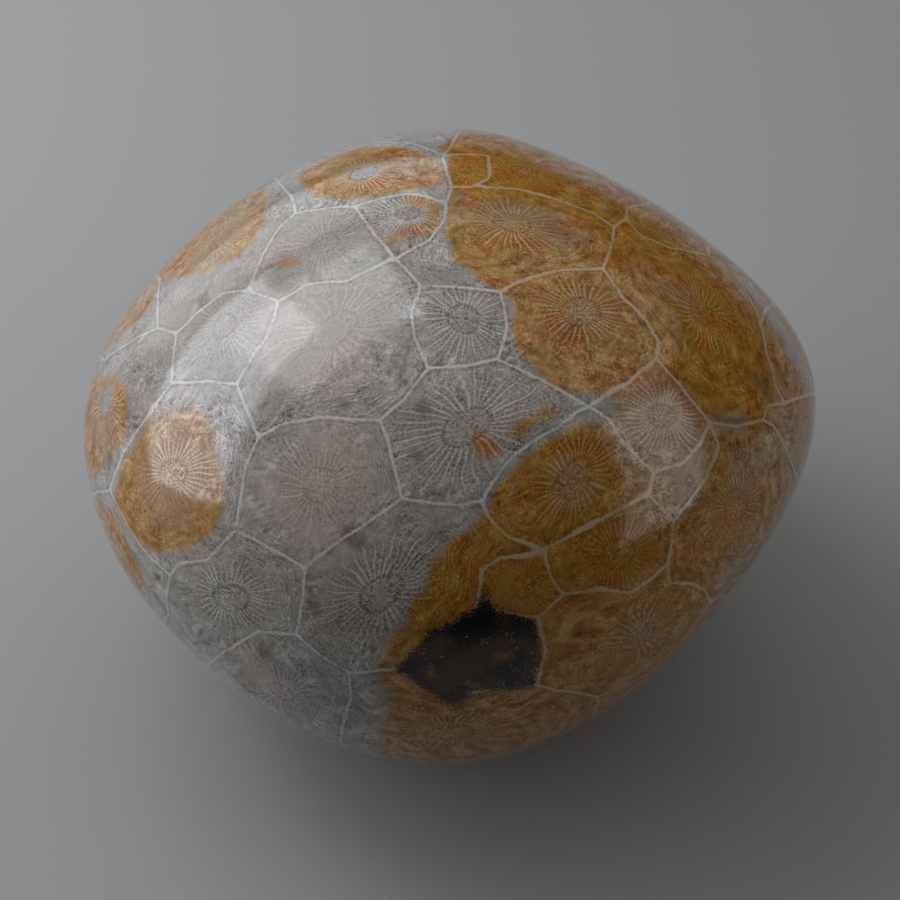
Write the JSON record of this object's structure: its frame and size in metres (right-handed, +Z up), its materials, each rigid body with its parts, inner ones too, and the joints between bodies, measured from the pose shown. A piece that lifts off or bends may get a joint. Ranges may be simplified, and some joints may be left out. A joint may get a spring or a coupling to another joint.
{
  "type": "polished fossil coral stone",
  "caption": "Rounded pebble of polished fossil coral, patterned with many-sided corallites, that rests on a small flat spot.",
  "frame": {"origin": "on the surface the stone rests on, under the middle of its bounding box", "axes": "+X along the stone's length, +Y to its back, +Z up; its best face looks forward and up, towards -Y and +Z"},
  "size_m": [0.0798, 0.0738, 0.0614],
  "materials": {
    "polished_coral": "high polish"
  },
  "bodies": {
    "root": {"polished_stone": "polished_coral"}
  },
  "joints": []
}
